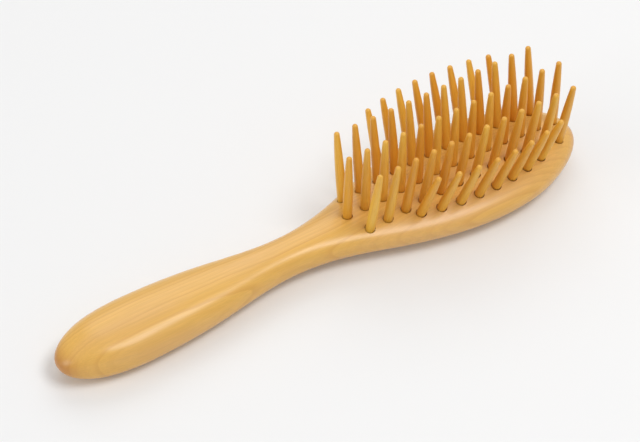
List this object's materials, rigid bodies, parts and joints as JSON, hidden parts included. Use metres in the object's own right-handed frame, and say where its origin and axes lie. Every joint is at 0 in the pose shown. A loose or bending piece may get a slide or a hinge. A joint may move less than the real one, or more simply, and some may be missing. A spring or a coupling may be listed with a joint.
{
  "type": "wooden hair brush",
  "caption": "Hair brush carved from one piece of pale wood, with a slim oval head, a waisted neck, a rounded handle and rows of tapered round-tipped wooden pins set in blind sockets.",
  "frame": {"origin": "on the plane of the flat back, under the middle of the whole brush", "axes": "+X from the handle to the tip of the head, +Z out of the pin face, +Y to the left seen from the handle"},
  "size_m": [0.2118, 0.0502, 0.0417],
  "materials": {
    "body_wood": "pale honey-coloured hardwood, fine straight grain, sanded smooth with a satin oil-wax finish",
    "pin_wood": "turned golden-yellow hardwood pins, waxed, a little different from pin to pin"
  },
  "bodies": {
    "root": {"brush_body": "body_wood", "pin_left_inner_01": "pin_wood", "pin_left_inner_02": "pin_wood", "pin_left_inner_03": "pin_wood", "pin_left_inner_04": "pin_wood", "pin_left_inner_05": "pin_wood", "pin_left_inner_06": "pin_wood", "pin_left_inner_07": "pin_wood", "pin_left_inner_08": "pin_wood", "pin_left_inner_09": "pin_wood", "pin_left_inner_10": "pin_wood", "pin_left_inner_11": "pin_wood", "pin_left_inner_12": "pin_wood", "pin_left_outer_01": "pin_wood", "pin_left_outer_02": "pin_wood", "pin_left_outer_03": "pin_wood", "pin_left_outer_04": "pin_wood", "pin_left_outer_05": "pin_wood", "pin_left_outer_06": "pin_wood", "pin_left_outer_07": "pin_wood", "pin_left_outer_08": "pin_wood", "pin_middle_01": "pin_wood", "pin_middle_02": "pin_wood", "pin_middle_03": "pin_wood", "pin_middle_04": "pin_wood", "pin_middle_05": "pin_wood", "pin_middle_06": "pin_wood", "pin_middle_07": "pin_wood", "pin_middle_08": "pin_wood", "pin_middle_09": "pin_wood", "pin_middle_10": "pin_wood", "pin_middle_11": "pin_wood", "pin_middle_12": "pin_wood", "pin_middle_13": "pin_wood", "pin_right_inner_01": "pin_wood", "pin_right_inner_02": "pin_wood", "pin_right_inner_03": "pin_wood", "pin_right_inner_04": "pin_wood", "pin_right_inner_05": "pin_wood", "pin_right_inner_06": "pin_wood", "pin_right_inner_07": "pin_wood", "pin_right_inner_08": "pin_wood", "pin_right_inner_09": "pin_wood", "pin_right_inner_10": "pin_wood", "pin_right_inner_11": "pin_wood", "pin_right_inner_12": "pin_wood", "pin_right_outer_01": "pin_wood", "pin_right_outer_02": "pin_wood", "pin_right_outer_03": "pin_wood", "pin_right_outer_04": "pin_wood", "pin_right_outer_05": "pin_wood", "pin_right_outer_06": "pin_wood", "pin_right_outer_07": "pin_wood", "pin_right_outer_08": "pin_wood"}
  },
  "joints": []
}
